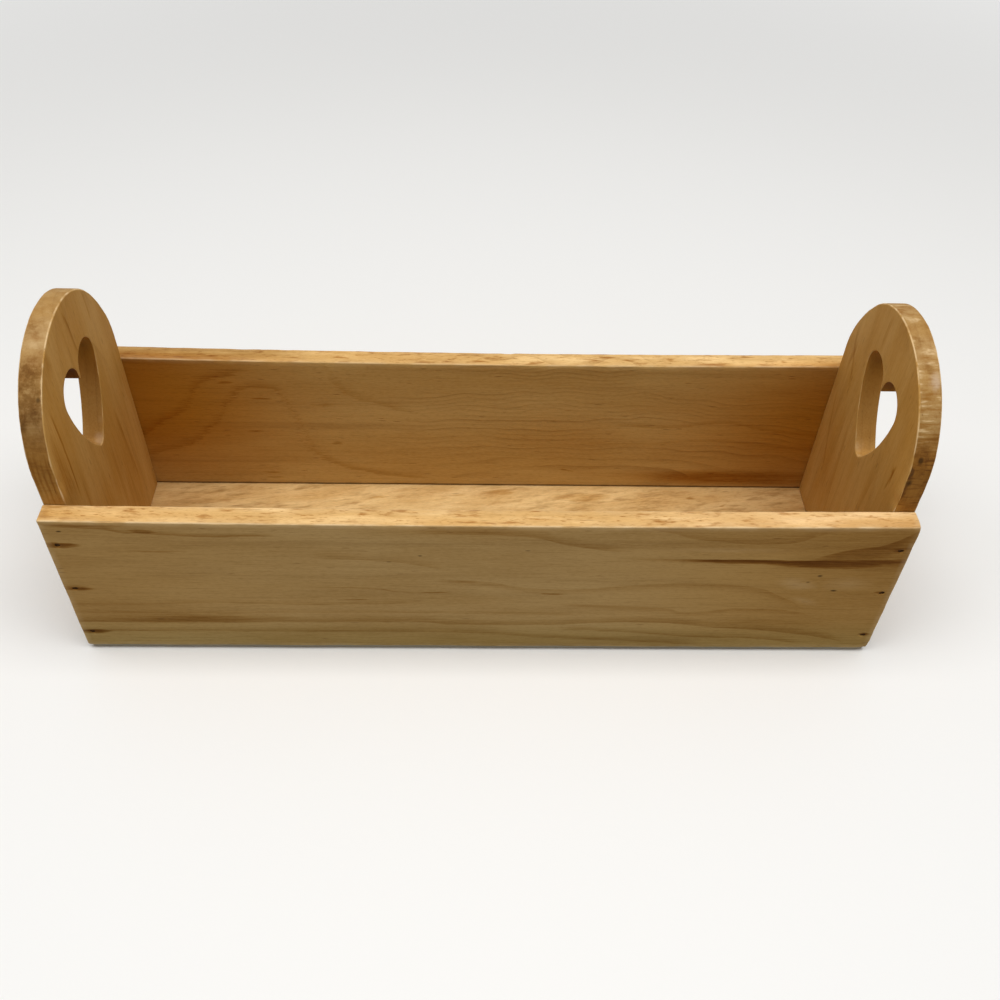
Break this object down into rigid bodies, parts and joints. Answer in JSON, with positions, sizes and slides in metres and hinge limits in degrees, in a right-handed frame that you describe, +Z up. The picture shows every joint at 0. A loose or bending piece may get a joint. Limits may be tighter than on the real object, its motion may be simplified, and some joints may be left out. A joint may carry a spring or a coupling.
{
  "type": "wooden tool tote",
  "caption": "Open rectangular wooden tote with nailed sides, arched ends and heart-shaped hand-holes for carrying tools.",
  "frame": {"origin": "centre of the underside, on the surface the tote stands on", "axes": "+X along the length towards the right end, +Y from the front board to the back board, +Z up"},
  "size_m": [0.454, 0.145, 0.186],
  "materials": {
    "face_wood": "clear satin varnish over pale straight-grained softwood, aged honey",
    "end_wood": "clear satin varnish, aged amber, worn paler along the arrises",
    "bottom_wood": "clear satin varnish over thin sheet, blotched",
    "nail_steel": "plain steel wire, dulled",
    "dark_filler": "dark wood filler, matt"
  },
  "bodies": {
    "root": {"front_board": "face_wood", "back_board": "face_wood", "left_end_panel": "end_wood", "right_end_panel": "end_wood", "bottom_panel": "bottom_wood", "nail_front_left_low": "nail_steel", "nail_front_left_middle": "nail_steel", "nail_front_left_high": "nail_steel", "nail_front_right_low": "nail_steel", "nail_front_right_middle": "nail_steel", "nail_front_right_high": "nail_steel", "nail_back_left_low": "nail_steel", "nail_back_left_middle": "nail_steel", "nail_back_left_high": "nail_steel", "nail_back_right_low": "nail_steel", "nail_back_right_middle": "nail_steel", "nail_back_right_high": "nail_steel", "brad_front_1": "nail_steel", "brad_front_2": "nail_steel", "brad_front_3": "nail_steel", "brad_front_4": "nail_steel", "brad_front_5": "nail_steel", "brad_back_1": "nail_steel", "brad_back_2": "nail_steel", "brad_back_3": "nail_steel", "brad_back_4": "nail_steel", "brad_back_5": "nail_steel", "brad_left_front": "nail_steel", "brad_left_back": "nail_steel", "brad_right_front": "nail_steel", "brad_right_back": "nail_steel", "filler_front_left_low": "dark_filler", "filler_front_left_middle": "dark_filler", "filler_front_left_high": "dark_filler", "filler_front_right_low": "dark_filler", "filler_front_right_middle": "dark_filler", "filler_front_right_high": "dark_filler", "filler_back_left_low": "dark_filler", "filler_back_left_middle": "dark_filler", "filler_back_left_high": "dark_filler", "filler_back_right_low": "dark_filler", "filler_back_right_middle": "dark_filler", "filler_back_right_high": "dark_filler"}
  },
  "joints": []
}
